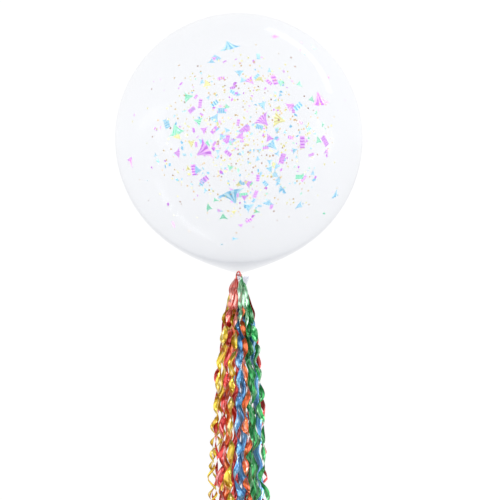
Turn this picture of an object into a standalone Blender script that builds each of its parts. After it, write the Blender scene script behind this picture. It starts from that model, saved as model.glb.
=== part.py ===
"""A giant clear party balloon with a tail of curled foil streamers, lying on a floor.

The balloon lies on a small flat spot with its neck tipped down and forward (towards -Y). The tail's loop is
round the neck, and the streamers hang from it to the floor and lie along it. Metres, +Z up, the origin at
the middle of the flat spot, on the floor.
"""

import math

import bmesh
import bpy
from mathutils import Vector

# The balloon's body. It is a circle in section and a little longer than wide. Towards the neck it is drawn
# out by NECK_DRAW_OUT, which dies away over about NECK_DRAW_ANGLE round from the neck.
BALLOON_RADIUS = 0.450
BALLOON_HALF_LENGTH = 0.456
NECK_DRAW_OUT = 0.035
NECK_DRAW_ANGLE = math.radians(13.5)
NECK_TIP_DOWN = math.radians(30)
FLAT_SPOT_RADIUS = 0.060
BODY_SEGMENTS = 44
BODY_RINGS = 22
# The rings crowd towards the neck, where the outline turns. 0 spaces them evenly.
RING_CROWDING = 0.22

# The tied neck: a short tube, the knot, and the flared lip that sticks out of the knot to the right.
NECK_RADIUS = 0.0062
NECK_LENGTH = 0.0090
KNOT_RADIUS = 0.0080
KNOT_FROM_NECK = 0.0064
KNOT_SEGMENTS = 5
LIP_LENGTH = 0.036
LIP_HALF_WIDTH = 0.0135
LIP_HALF_THICKNESS = 0.0022
LIP_BEAD_RADIUS = 0.0030
LIP_TURN = math.radians(72)
LIP_LEAN = math.radians(32)
LIP_SIDES = 12

# The tail's loop: a ring round the neck, and the gathered tops of the streamers in two bunches, which pass
# the knot on either side and widen down to the streamers.
RING_CLEARANCE = 0.0006
RING_THICKNESS = 0.0052
RING_SIDES = 8
RING_SEGMENTS = 20
LOOP_LENGTH = 0.078
BUNCH_SIDES = 10
BUNCH_STEPS = 3
LEFT_STRAND_RADIUS = 0.0042
RIGHT_STRAND_RADIUS = 0.0034
# Where each bunch ends: its middle and half its width, as shares of half the tail's width there.
LEFT_BUNCH_SHARE = (-0.58, 0.56)
RIGHT_BUNCH_SHARE = (0.36, 0.62)

# The streamers. Each is a flat strip of foil that twists about a line of its own, its lane. The lanes lie
# side by side in rows, close together under the loop and with room for the whole strip further down.
TAIL_LENGTH = 1.02
TAIL_DROP = math.radians(52)
STRIP_WIDTH = 0.024
STRIP_THICKNESS = 0.0010
CURL_RADIUS = 0.003
LANE_GAP = 0.0015
BUNCHED_LANE = 0.0095
SPREAD_LENGTH = 0.31
TURN_LENGTH_TOP = 0.155
TURN_LENGTH_END = 0.125
SWAY = 0.007
SWAY_LENGTH = 0.21
SWAY_SHIFT = math.radians(133)
RAGGED_ENDS = 0.060
END_GAP = 0.0004
STRIP_SEGMENTS = 40
# Each lane is turned by the golden angle from the one beside it, and each row by an eighth of a turn from the
# one above. Two rows apart one strip is then seen flat where the other is seen edge on.
LANE_TURN = math.radians(137.5)
ROW_TURN = math.radians(45)

# Colours from left to right, seen from above with the neck towards you. The first row faces up.
STREAMER_ROWS = (
    ("yellow", "red", "yellow", "blue", "orange", "green", "green"),
    ("yellow", "orange", "red", "blue", "green", "blue"),
    ("red", "yellow", "orange", "blue", "red", "green", "red"),
)
MOST_COLUMNS = max(len(row) for row in STREAMER_ROWS)

FOIL_COLOURS = {
    "yellow": (0.84, 0.60, 0.02),
    "red": (0.66, 0.02, 0.04),
    "orange": (0.88, 0.14, 0.01),
    "blue": (0.05, 0.24, 0.66),
    "green": (0.01, 0.33, 0.07),
}
CLEAR_COLOUR = (0.90, 0.91, 0.95)

RIGHT = Vector((1, 0, 0))
NECK_WAY = Vector((0, -math.cos(NECK_TIP_DOWN), -math.sin(NECK_TIP_DOWN)))
NECK_FRONT = Vector((0, -math.sin(NECK_TIP_DOWN), math.cos(NECK_TIP_DOWN)))


def clear_scene():
    for old in list(bpy.data.objects):
        bpy.data.objects.remove(old)


def make_material(name, colour, roughness, metallic, alpha=1.0):
    material = bpy.data.materials.new(name)
    material.use_nodes = True
    shader = material.node_tree.nodes["Principled BSDF"]
    shader.inputs["Base Color"].default_value = (*colour, 1)
    shader.inputs["Roughness"].default_value = roughness
    shader.inputs["Metallic"].default_value = metallic
    shader.inputs["Alpha"].default_value = alpha
    return material


def make_object(name, mesh, material, sharp_from=math.radians(40)):
    mesh.shade_smooth()
    mesh.set_sharp_from_angle(angle=sharp_from)
    mesh.materials.append(material)
    made = bpy.data.objects.new(name, mesh)
    bpy.context.scene.collection.objects.link(made)
    return made


def finished_mesh(name, work):
    """The mesh of a closed bmesh, with its faces turned outwards."""
    if work.calc_volume(signed=True) < 0:
        bmesh.ops.reverse_faces(work, faces=work.faces)
    mesh = bpy.data.meshes.new(name)
    work.to_mesh(mesh)
    work.free()
    return mesh


def join_loops(work, low, high):
    """Quads between two rings of vertices."""
    for i in range(len(low)):
        j = (i + 1) % len(low)
        work.faces.new((low[i], low[j], high[j], high[i]))


def oval(middle, across, up, half_width, half_height, sides):
    """The corners of an oval about a point."""
    turns = [2 * math.pi * k / sides for k in range(sides)]
    return [
        middle + across * half_width * math.cos(turn) + up * half_height * math.sin(turn)
        for turn in turns
    ]


def loft(name, rings):
    """A closed mesh through rings of points, each ring joined to the next and the two ends capped."""
    work = bmesh.new()
    loops = [[work.verts.new(point) for point in ring] for ring in rings]
    for low, high in zip(loops, loops[1:]):
        join_loops(work, low, high)
    work.faces.new(loops[0][::-1])
    work.faces.new(loops[-1])
    return finished_mesh(name, work)


def between(a, b, c, d, t):
    """The number at share t from b to c on a Catmull-Rom curve through four numbers."""
    line = 2 * b + (c - a) * t
    bend = (2 * a - 5 * b + 4 * c - d) * t**2
    twist = (3 * b - a - 3 * c + d) * t**3
    return (line + bend + twist) / 2


def smooth_rows(rows, steps):
    """Rows of numbers on a smooth curve through the given rows, with steps between each two of them."""
    padded = [rows[0], *rows, rows[-1]]
    found = []
    for four in zip(padded, padded[1:], padded[2:], padded[3:]):
        for k in range(steps):
            found.append([between(*numbers, k / steps) for numbers in zip(*four)])
    found.append(list(rows[-1]))
    return found


def helper(obj):
    """Keeps an object that only shapes another one out of the model."""
    obj.hide_render = True
    obj.display_type = "WIRE"
    return obj


def join(obj, *others):
    for other in others:
        modifier = obj.modifiers.new("join_" + other.name, "BOOLEAN")
        modifier.operation = "UNION"
        modifier.solver = "EXACT"
        modifier.object = helper(other)


# The balloon


def body_outline(angle):
    """(radius, distance towards the neck from the body's centre) at that angle from the neck."""
    reach = BALLOON_RADIUS + NECK_DRAW_OUT * math.exp(-angle / NECK_DRAW_ANGLE)
    longer = BALLOON_HALF_LENGTH / BALLOON_RADIUS
    return reach * math.sin(angle), reach * math.cos(angle) * longer


def neck_angle():
    """The angle from the neck at which the body's outline has come in to the neck's radius."""
    low, high = 0.0, math.radians(45)
    for _ in range(50):
        middle = (low + high) / 2
        if body_outline(middle)[0] < NECK_RADIUS:
            low = middle
        else:
            high = middle
    return high


def body_centre():
    """Where the body's centre is when the middle of its flat spot is at the origin."""
    down, forward = math.sin(NECK_TIP_DOWN), math.cos(NECK_TIP_DOWN)
    outline = [body_outline(math.radians(k / 20)) for k in range(3600)]
    radius, along = max(outline, key=lambda point: point[1] * down + point[0] * forward)
    depth = along * down + radius * forward
    flat_depth = BALLOON_RADIUS - math.sqrt(BALLOON_RADIUS**2 - FLAT_SPOT_RADIUS**2)
    return Vector((0, along * forward - radius * down, depth - flat_depth))


CENTRE = body_centre()
NECK_START = body_outline(neck_angle())[1]
NECK_ROOT = CENTRE + NECK_WAY * NECK_START
KNOT_AT = NECK_LENGTH + KNOT_FROM_NECK
KNOT_CENTRE = NECK_ROOT + NECK_WAY * KNOT_AT


def by_neck(right, along, front):
    """A point by the neck: right, along the neck from its root, and towards the tail's upper side."""
    return NECK_ROOT + RIGHT * right + NECK_WAY * along + NECK_FRONT * front


def balloon_rows():
    """(radius, distance) rows from the crown to the end of the knot."""
    first, last = math.pi, neck_angle()
    rows = []
    for k in range(1, BODY_RINGS + 1):
        share = k / BODY_RINGS
        share += RING_CROWDING * share * (1 - share)
        rows.append(body_outline(first + (last - first) * share))
    rows.append((NECK_RADIUS, NECK_START + NECK_LENGTH))
    for k in range(1, KNOT_SEGMENTS):
        turn = math.pi * (k / KNOT_SEGMENTS - 0.5)
        radius, along = KNOT_RADIUS * math.cos(turn), KNOT_RADIUS * math.sin(turn)
        if along > -KNOT_FROM_NECK * 0.9:
            rows.append((radius, NECK_START + KNOT_AT + along))
    return rows


def make_lip(material):
    """The flattened flare beyond the knot, with the rolled bead at its rim."""
    level = RIGHT * math.sin(LIP_TURN) + NECK_WAY * math.cos(LIP_TURN)
    way = level * math.cos(LIP_LEAN) - NECK_FRONT * math.sin(LIP_LEAN)
    across = way.cross(NECK_FRONT).normalized()
    up = across.cross(way).normalized()
    flare_start = KNOT_RADIUS * 0.55
    bead = LIP_HALF_WIDTH + LIP_BEAD_RADIUS * 0.35
    # (share of the length, half the width, half the thickness)
    rows = (
        (0.00, flare_start, flare_start),
        (0.35, LIP_HALF_WIDTH * 0.48, LIP_HALF_THICKNESS * 1.5),
        (0.70, LIP_HALF_WIDTH * 0.80, LIP_HALF_THICKNESS * 1.1),
        (0.90, LIP_HALF_WIDTH * 0.97, LIP_HALF_THICKNESS),
        (0.93, bead, LIP_BEAD_RADIUS),
        (0.98, bead, LIP_BEAD_RADIUS),
        (1.00, LIP_HALF_WIDTH, LIP_BEAD_RADIUS * 0.6),
    )
    rings = []
    for share, half_width, half_thick in rows:
        middle = KNOT_CENTRE + way * LIP_LENGTH * share
        rings.append(oval(middle, across, up, half_width, half_thick, LIP_SIDES))
    return make_object("lip_shape", loft("lip_shape", rings), material)


def make_balloon(material):
    """The body, neck and knot are one turned shape, cut off flat below. The lip is joined to the knot."""
    work = bmesh.new()
    crown = work.verts.new(CENTRE - NECK_WAY * -body_outline(math.pi)[1])
    loops = []
    for radius, along in balloon_rows():
        middle = CENTRE + NECK_WAY * along
        ring = oval(middle, RIGHT, NECK_FRONT, radius, radius, BODY_SEGMENTS)
        loops.append([work.verts.new(point) for point in ring])
    for i in range(BODY_SEGMENTS):
        work.faces.new((crown, loops[0][i - 1], loops[0][i]))
    for low, high in zip(loops, loops[1:]):
        join_loops(work, low, high)
    work.faces.new(loops[-1])
    cut = bmesh.ops.bisect_plane(
        work,
        geom=work.verts[:] + work.edges[:] + work.faces[:],
        plane_co=(0, 0, 0),
        plane_no=(0, 0, -1),
        clear_outer=True,
    )
    rim = [g for g in cut["geom_cut"] if isinstance(g, bmesh.types.BMEdge)]
    bmesh.ops.contextual_create(work, geom=rim)
    bmesh.ops.recalc_face_normals(work, faces=work.faces)
    mesh = finished_mesh("balloon", work)
    balloon = make_object("balloon", mesh, material, math.radians(25))
    join(balloon, make_lip(material))
    return balloon


# The tail's lower line: a hanging curve from the loop to the floor, then straight along the floor. The
# streamers lie in rows above it. BEND_RADIUS is the curve's radius where it meets the floor.
BUNCH_MIDDLE = BUNCHED_LANE * len(STREAMER_ROWS) / 2
LOOP_TOP = NECK_ROOT + NECK_WAY * (NECK_LENGTH / 2)
LINE_START_Y = LOOP_TOP.y + BUNCH_MIDDLE * math.sin(TAIL_DROP)
LINE_START_Z = LOOP_TOP.z - BUNCH_MIDDLE * math.cos(TAIL_DROP)
BEND_RADIUS = LINE_START_Z / (1 / math.cos(TAIL_DROP) - 1)
HANG_LENGTH = BEND_RADIUS * math.tan(TAIL_DROP)


def lane_step(along):
    """The distance between neighbouring lanes, from bunched under the loop to free at the ends."""
    free = STRIP_WIDTH + 2 * CURL_RADIUS + LANE_GAP
    bunched = math.exp(-max(along - LOOP_LENGTH, 0) / SPREAD_LENGTH)
    return free - (free - BUNCHED_LANE) * bunched


def tail_frame(along):
    """(point, direction, upward side) of the tail's lower line, at a distance along it."""
    left = max(HANG_LENGTH - along, 0)
    slope = math.atan2(left, BEND_RADIUS)
    height = math.hypot(BEND_RADIUS, left) - BEND_RADIUS
    forward = math.asinh(HANG_LENGTH / BEND_RADIUS) - math.asinh(left / BEND_RADIUS)
    forward = forward * BEND_RADIUS + max(along - HANG_LENGTH, 0)
    point = Vector((0, LINE_START_Y - forward, height))
    way = Vector((0, -math.cos(slope), -math.sin(slope)))
    up = Vector((0, -math.sin(slope), math.cos(slope)))
    return point, way, up


def in_tail(right, along, up_by):
    point, _, up = tail_frame(along)
    return point + RIGHT * right + up * up_by


# The loop
RING_RADIUS = NECK_RADIUS + RING_CLEARANCE + RING_THICKNESS / 2


def make_ring(material):
    """The ring of gathered foil round the neck."""
    thick = RING_THICKNESS / 2
    work = bmesh.new()
    loops = []
    for k in range(RING_SEGMENTS):
        turn = 2 * math.pi * k / RING_SEGMENTS
        out = RIGHT * math.cos(turn) + NECK_FRONT * math.sin(turn)
        middle = LOOP_TOP + out * RING_RADIUS
        ring = oval(middle, out, NECK_WAY, thick, thick, RING_SIDES)
        loops.append([work.verts.new(point) for point in ring])
    for k, low in enumerate(loops):
        join_loops(work, loops[k - 1], low)
    return make_object("tail_loop", finished_mesh("tail_loop", work), material)


def make_bunch(name, rows, material):
    """A gathered bunch of streamer tops. Each row is (middle point, half its width, half its depth)."""
    smooth = smooth_rows([(*row[0], *row[1:]) for row in rows], BUNCH_STEPS)
    middles = [Vector(row[:3]) for row in smooth]
    ways = [(after - before).normalized() for before, after in zip(middles, middles[1:])]
    ways.append(tail_frame(LOOP_LENGTH)[1])
    rings = []
    for middle, way, row in zip(middles, ways, smooth):
        up = way.cross(RIGHT).normalized()
        across = up.cross(way).normalized()
        rings.append(oval(middle, across, up, row[3], row[4], BUNCH_SIDES))
    return make_object(name, loft(name, rings), material)


def bunch_rows(side, strand_radius, share, waist):
    """A bunch's rows: on the ring, past the knot, its waist, and the last two that meet the streamers."""
    thick = RING_THICKNESS / 2
    half_tail = BUNCHED_LANE * MOST_COLUMNS / 2
    middle, half_width = share
    past_knot = KNOT_RADIUS + strand_radius + RING_CLEARANCE
    return [
        (by_neck(side * RING_RADIUS * 0.86, NECK_LENGTH / 2, RING_RADIUS / 2), thick, thick),
        (
            by_neck(side * past_knot * 0.82, KNOT_AT, past_knot * 0.62),
            strand_radius,
            strand_radius,
        ),
        waist,
        (
            in_tail(middle * half_tail * 1.05, LOOP_LENGTH * 0.66, BUNCH_MIDDLE),
            half_width * half_tail * 0.93,
            BUNCH_MIDDLE * 0.9,
        ),
        (
            in_tail(middle * half_tail, LOOP_LENGTH - END_GAP, BUNCH_MIDDLE),
            half_width * half_tail,
            BUNCH_MIDDLE,
        ),
    ]


def make_loop(material):
    """The ring that holds the tail to the neck, and the left and right bunches that hang from it."""
    knot_end = KNOT_AT + KNOT_RADIUS
    left_waist = (
        by_neck(-RING_RADIUS * 1.35, knot_end * 1.4, 0),
        LEFT_STRAND_RADIUS * 2.7,
        LEFT_STRAND_RADIUS * 1.7,
    )
    right_waist = (
        by_neck(RING_RADIUS * 0.95, knot_end * 1.25, RING_RADIUS * 0.6),
        RIGHT_STRAND_RADIUS * 2.7,
        RIGHT_STRAND_RADIUS * 1.2,
    )
    loop = make_ring(material)
    left = bunch_rows(-1, LEFT_STRAND_RADIUS, LEFT_BUNCH_SHARE, left_waist)
    right = bunch_rows(1, RIGHT_STRAND_RADIUS, RIGHT_BUNCH_SHARE, right_waist)
    join(
        loop,
        make_bunch("left_bunch_shape", left, material),
        make_bunch("right_bunch_shape", right, material),
    )
    return loop


# The streamers


def turned(along):
    """How many turns a streamer has made at a distance along it. Its turns come closer towards its end."""
    rate_top, rate_end = 1 / TURN_LENGTH_TOP, 1 / TURN_LENGTH_END
    return along * (rate_top + (rate_end - rate_top) * along / TAIL_LENGTH / 2)


def strip_mesh(name, rings):
    """A thin strip through rings of four corners: two on its front and, behind them, two on its back.

    Front and back are split along the same diagonals, so that the strip keeps its thickness where it twists.
    """
    work = bmesh.new()
    loops = [[work.verts.new(point) for point in ring] for ring in rings]
    for (a, b, c, d), (e, f, g, h) in zip(loops, loops[1:]):
        for corners in (
            (a, b, f),
            (a, f, e),
            (d, g, c),
            (d, h, g),
            (b, c, g, f),
            (d, a, e, h),
        ):
            work.faces.new(corners)
    work.faces.new(loops[0][::-1])
    work.faces.new(loops[-1])
    return finished_mesh(name, work)


def sway(row, along):
    """How far right a row of lanes has swung at a distance along the tail."""
    grown = 1 - math.exp(-(along - LOOP_LENGTH) / SPREAD_LENGTH)
    return SWAY * grown * math.sin(2 * math.pi * along / SWAY_LENGTH + row * SWAY_SHIFT)


def make_streamer(name, row, column, material):
    """A strip that winds about its lane, with its width on a line through the lane."""
    lanes_right = column - (len(STREAMER_ROWS[row]) - 1) / 2
    rows_below = len(STREAMER_ROWS) - 1 - row
    first_angle = column * LANE_TURN + row * ROW_TURN
    ragged = (row + 3 * column) % 5 / 4
    length = TAIL_LENGTH - RAGGED_ENDS * ragged
    rings = []
    for k in range(STRIP_SEGMENTS + 1):
        along = LOOP_LENGTH + (length - LOOP_LENGTH) * k / STRIP_SEGMENTS
        step = lane_step(along)
        room = step - LANE_GAP
        width = min(STRIP_WIDTH, room * 0.9)
        off_lane = min((room - width) / 2, CURL_RADIUS)
        angle = first_angle + 2 * math.pi * turned(along)
        right = lanes_right * step + sway(row, along)
        up_by = math.hypot(room, STRIP_THICKNESS) / 2 + step * rows_below
        _, way, up = tail_frame(along)
        out = RIGHT * math.cos(angle) + up * math.sin(angle)
        face = out.cross(way) * STRIP_THICKNESS / 2
        middle = in_tail(right, along, up_by) + out * off_lane
        inner, outer = middle - out * width / 2, middle + out * width / 2
        rings.append([inner + face, outer + face, outer - face, inner - face])
    return make_object(name, strip_mesh(name, rings), material, math.radians(60))


def make_tail():
    foils = {
        name: make_material(name + "_foil", colour, 0.3, 0.7)
        for name, colour in FOIL_COLOURS.items()
    }
    make_loop(foils["red"])
    made = dict.fromkeys(FOIL_COLOURS, 0)
    for row, colours in enumerate(STREAMER_ROWS):
        for column, colour in enumerate(colours):
            made[colour] += 1
            name = f"{colour}_streamer_{made[colour]}"
            make_streamer(name, row, column, foils[colour])


def main():
    clear_scene()
    make_balloon(make_material("clear_latex", CLEAR_COLOUR, 0.08, 0.0, 0.2))
    make_tail()


main()
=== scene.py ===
import math
import random

import bpy
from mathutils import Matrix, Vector, noise


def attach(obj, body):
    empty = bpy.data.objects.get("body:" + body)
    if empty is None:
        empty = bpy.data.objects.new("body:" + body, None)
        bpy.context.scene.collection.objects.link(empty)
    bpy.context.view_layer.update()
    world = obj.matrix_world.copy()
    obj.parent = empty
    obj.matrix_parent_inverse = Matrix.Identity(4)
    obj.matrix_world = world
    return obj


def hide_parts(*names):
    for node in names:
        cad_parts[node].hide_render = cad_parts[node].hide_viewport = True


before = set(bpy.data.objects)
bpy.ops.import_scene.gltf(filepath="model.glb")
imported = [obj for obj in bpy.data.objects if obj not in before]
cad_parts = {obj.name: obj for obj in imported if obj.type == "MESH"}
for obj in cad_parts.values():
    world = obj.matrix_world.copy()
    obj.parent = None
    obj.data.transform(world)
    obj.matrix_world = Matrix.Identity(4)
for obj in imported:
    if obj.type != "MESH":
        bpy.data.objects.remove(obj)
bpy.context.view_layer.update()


# The balloon's skin is one clear latex shell, dipped on a former and blown up round. It is thin over most of
# the balloon and stays thicker and milky towards the neck, where it is drawn out a little.

BALLOON_RADIUS = 0.450
BALLOON_HALF_LENGTH = 0.456
LONGER = BALLOON_HALF_LENGTH / BALLOON_RADIUS
NECK_DRAW_OUT = 0.035
NECK_DRAW_ANGLE = math.radians(13.5)
NECK_TIP_DOWN = math.radians(30)
FLAT_SPOT_RADIUS = 0.060
NECK_RADIUS = 0.0062
NECK_LENGTH = 0.0090
SKIN_THICKNESS = 0.0018
THICKER_BELOW = 0.0058
THICKENING = 0.7
SKIN_ALPHA = 0.055
SKIN_IOR = 1.38
SKIN_COLOUR = (0.48, 0.54, 0.66)
CLOUDY_COLOUR = (0.60, 0.65, 0.76)
MILKY_DENSITY = 1.55
MILKY_COLOUR = (0.02, 0.06, 0.16)
SKIN_ROWS = 110
SKIN_SIDES = 144
ROW_CROWDING = 0.3
LEAST_RING = 1e-5
PARTS_OF_A_DEGREE = 20
HALVINGS = 50

RIGHT = Vector((1, 0, 0))
NECK_WAY = Vector((0, -math.cos(NECK_TIP_DOWN), -math.sin(NECK_TIP_DOWN)))
NECK_FRONT = Vector((0, -math.sin(NECK_TIP_DOWN), math.cos(NECK_TIP_DOWN)))


def body_outline(angle):
    """(radius, distance from the centre towards the neck) of the skin's outside, by angle from the neck."""
    reach = BALLOON_RADIUS + NECK_DRAW_OUT * math.exp(-angle / NECK_DRAW_ANGLE)
    return reach * math.sin(angle), reach * math.cos(angle) * LONGER


def hollow_outline(angle):
    """The same for the skin's inside, which stays nearly round, so that the skin is thicker by the neck."""
    thicker = THICKER_BELOW * max(math.cos(angle), 0) ** THICKENING
    reach = BALLOON_RADIUS - SKIN_THICKNESS - thicker
    return reach * math.sin(angle), reach * math.cos(angle) * LONGER


def neck_angle():
    """The angle from the neck at which the outside has come in to the neck's radius, found by halving."""
    low, high = 0.0, math.radians(45)
    for _ in range(HALVINGS):
        middle = (low + high) / 2
        if body_outline(middle)[0] < NECK_RADIUS:
            low = middle
        else:
            high = middle
    return high


def body_centre():
    """Where the body's centre is when the middle of its flat spot is at the origin."""
    down, forward = math.sin(NECK_TIP_DOWN), math.cos(NECK_TIP_DOWN)
    angles = [math.radians(k / PARTS_OF_A_DEGREE) for k in range(180 * PARTS_OF_A_DEGREE)]
    outline = [body_outline(angle) for angle in angles]
    radius, along = max(outline, key=lambda point: point[1] * down + point[0] * forward)
    depth = along * down + radius * forward
    flat_depth = BALLOON_RADIUS - math.sqrt(BALLOON_RADIUS**2 - FLAT_SPOT_RADIUS**2)
    return Vector((0, along * forward - radius * down, depth - flat_depth))


CENTRE = body_centre()
NECK_START = body_outline(neck_angle())[1]
NECK_ROOT = CENTRE + NECK_WAY * NECK_START


def enclosed(points, faces):
    """Six times the volume inside some faces. It is negative where they face inwards."""
    total = 0.0
    for face in faces:
        corners = [points[i] - points[faces[0][0]] for i in face]
        for b, c in zip(corners[1:], corners[2:]):
            total += corners[0].dot(b.cross(c))
    return total


def facing_out(points, faces):
    """The same faces, turned over where they face inwards."""
    return faces if enclosed(points, faces) > 0 else [tuple(reversed(face)) for face in faces]


def make_piece(name, points, faces, material, sharp_from=math.radians(50)):
    """A piece of the object as a mesh of its own, which rides on the object's one body."""
    mesh = bpy.data.meshes.new(name)
    mesh.from_pydata(points, [], faces)
    mesh.shade_smooth()
    mesh.set_sharp_from_angle(angle=sharp_from)
    mesh.materials.append(material)
    piece = bpy.data.objects.new(name, mesh)
    bpy.context.scene.collection.objects.link(piece)
    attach(piece, "root")
    return piece


def turned_faces(first, rows, sides, flip=False):
    """Quads for rings of points that start at index first, each with that many sides."""
    faces = []
    for row in range(rows - 1):
        for k in range(sides):
            a = first + row * sides + k
            b = first + row * sides + (k + 1) % sides
            quad = (a, b, b + sides, a + sides)
            faces.append(quad[::-1] if flip else quad)
    return faces


def capped(first, rows, sides, flip=False):
    """The same quads, and a face over the first ring and one over the last."""
    last = first + rows * sides
    ends = (tuple(reversed(range(first, first + sides))), tuple(range(last - sides, last)))
    return turned_faces(first, rows, sides, flip) + [end[::-1] if flip else end for end in ends]


def round_neck(turn):
    """The direction outwards from the neck's line, at a turn about it."""
    return RIGHT * math.cos(turn) + NECK_FRONT * math.sin(turn)


def skin_rings(outline, start, end, lowest):
    """Rings of points from the crown to the neck, pressed flat where the balloon rests."""
    points = []
    for row in range(SKIN_ROWS):
        share = row / (SKIN_ROWS - 1)
        share += ROW_CROWDING * share * (1 - share)
        radius, along = outline(start + (end - start) * share)
        for k in range(SKIN_SIDES):
            out = round_neck(2 * math.pi * k / SKIN_SIDES)
            point = CENTRE + NECK_WAY * along + out * max(radius, LEAST_RING)
            point.z = max(point.z, lowest)
            points.append(point)
    return points


def new_material(name, colour, roughness, metallic=0.0):
    """A material with one Principled shader. Returns the material, its nodes, its links and the shader."""
    material = bpy.data.materials.new(name)
    material.use_nodes = True
    nodes, links = material.node_tree.nodes, material.node_tree.links
    shader = nodes["Principled BSDF"]
    shader.inputs["Base Color"].default_value = (*colour, 1)
    shader.inputs["Roughness"].default_value = roughness
    shader.inputs["Metallic"].default_value = metallic
    return material, nodes, links, shader


def add_noise(nodes, links, place, scale, detail=2.0):
    """Noise over those coordinates, where the scale is a number or a socket that gives one."""
    speckle = nodes.new("ShaderNodeTexNoise")
    speckle.inputs["Detail"].default_value = detail
    links.new(place, speckle.inputs["Vector"])
    if isinstance(scale, float):
        speckle.inputs["Scale"].default_value = scale
    else:
        links.new(scale, speckle.inputs["Scale"])
    return speckle.outputs["Fac"]


def add_scaled(nodes, links, value, factor, added):
    """A value times a plain factor, with another value added."""
    total = nodes.new("ShaderNodeMath")
    total.operation = "MULTIPLY_ADD"
    total.inputs[1].default_value = factor
    links.new(value, total.inputs[0])
    links.new(added, total.inputs[2])
    return total.outputs[0]


def add_blend(nodes, links, share, first, second):
    """The colour at a share of the way from the first colour to the second."""
    blend = nodes.new("ShaderNodeMix")
    blend.data_type = "RGBA"
    links.new(share, blend.inputs["Factor"])
    links.new(first, blend.inputs[6])
    links.new(second, blend.inputs[7])
    return blend.outputs[2]


def new_film(name, numbers, colours):
    """A node group that puts out a film's colour, roughness and height, with its input and output nodes.

    Its inputs are numbers and colours, given by name with their usual values.
    """
    group = bpy.data.node_groups.new(name, "ShaderNodeTree")
    for kind, inputs in (("NodeSocketFloat", numbers), ("NodeSocketColor", colours)):
        for label, value in inputs.items():
            socket = group.interface.new_socket(label, in_out="INPUT", socket_type=kind)
            socket.default_value = value
    group.interface.new_socket("Colour", in_out="OUTPUT", socket_type="NodeSocketColor")
    group.interface.new_socket("Roughness", in_out="OUTPUT", socket_type="NodeSocketFloat")
    group.interface.new_socket("Height", in_out="OUTPUT", socket_type="NodeSocketFloat")
    return group, group.nodes.new("NodeGroupInput"), group.nodes.new("NodeGroupOutput")


def latex_film():
    """A node group for blown latex: faint cloudy mottling, and the fine orange peel of a dipped film."""
    group, start, end = new_film(
        "latex_film",
        {"Cloud Scale": 6.0, "Peel Scale": 900.0, "Least Roughness": 0.05},
        {"Clear Colour": (0.4, 0.5, 0.7, 1), "Milky Colour": (0.6, 0.62, 0.72, 1)},
    )
    nodes, links = group.nodes, group.links
    place = nodes.new("ShaderNodeTexCoord").outputs["Object"]
    cloud = add_noise(nodes, links, place, start.outputs["Cloud Scale"], 4.0)
    tint = add_blend(nodes, links, cloud, start.outputs["Clear Colour"], start.outputs["Milky Colour"])
    rough = add_scaled(nodes, links, cloud, 0.12, start.outputs["Least Roughness"])
    peel = add_noise(nodes, links, place, start.outputs["Peel Scale"])
    links.new(tint, end.inputs["Colour"])
    links.new(rough, end.inputs["Roughness"])
    links.new(peel, end.inputs["Height"])
    return group


def add_bump(nodes, links, shader, height, strength, distance):
    """Raises the shader's surface by a height, up to a distance in metres."""
    bump = nodes.new("ShaderNodeBump")
    bump.inputs["Strength"].default_value = strength
    bump.inputs["Distance"].default_value = distance
    links.new(height, bump.inputs["Height"])
    links.new(bump.outputs["Normal"], shader.inputs["Normal"])


def cover(nodes, links, shader, group, strength, distance, **values):
    """Gives a shader a film group's colour, roughness and bump. In the values' names _ is for a space."""
    film = nodes.new("ShaderNodeGroup")
    film.node_tree = group
    for name, value in values.items():
        film.inputs[name.replace("_", " ")].default_value = value
    links.new(film.outputs["Colour"], shader.inputs["Base Color"])
    links.new(film.outputs["Roughness"], shader.inputs["Roughness"])
    add_bump(nodes, links, shader, film.outputs["Height"], strength, distance)


LATEX_FILM = latex_film()


def clear_latex():
    """See-through latex with a soft gloss, whose thickness takes away some light like thin milk."""
    material, nodes, links, shader = new_material("clear_latex", SKIN_COLOUR, 0.06)
    shader.inputs["Alpha"].default_value = SKIN_ALPHA
    shader.inputs["IOR"].default_value = SKIN_IOR
    cover(
        nodes,
        links,
        shader,
        LATEX_FILM,
        strength=0.05,
        distance=0.0001,
        Cloud_Scale=5.0,
        Least_Roughness=0.04,
        Clear_Colour=(*SKIN_COLOUR, 1),
        Milky_Colour=(*CLOUDY_COLOUR, 1),
    )
    milk = nodes.new("ShaderNodeVolumeAbsorption")
    milk.inputs["Color"].default_value = (*MILKY_COLOUR, 1)
    milk.inputs["Density"].default_value = MILKY_DENSITY
    links.new(milk.outputs["Volume"], nodes["Material Output"].inputs["Volume"])
    return material


outside = skin_rings(body_outline, math.pi, neck_angle(), 0.0)
inside = skin_rings(hollow_outline, math.pi, 0.0, SKIN_THICKNESS)
tube_end = CENTRE + NECK_WAY * (NECK_START + NECK_LENGTH / 2)
for k in range(SKIN_SIDES):
    outside.append(tube_end + round_neck(2 * math.pi * k / SKIN_SIDES) * NECK_RADIUS)
skin_faces = capped(0, SKIN_ROWS + 1, SKIN_SIDES)
skin_faces += capped(len(outside), SKIN_ROWS, SKIN_SIDES, flip=True)
balloon_skin = make_piece(
    "balloon_skin", outside + inside, skin_faces, clear_latex(), math.radians(60)
)
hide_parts("balloon")


# The neck is tied in an overhand knot. Beyond the knot the latex opens in a flattened, creased flare with
# the rolled bead at its rim. It is the same latex, but not stretched, so it is thick and lavender-grey.

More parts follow.
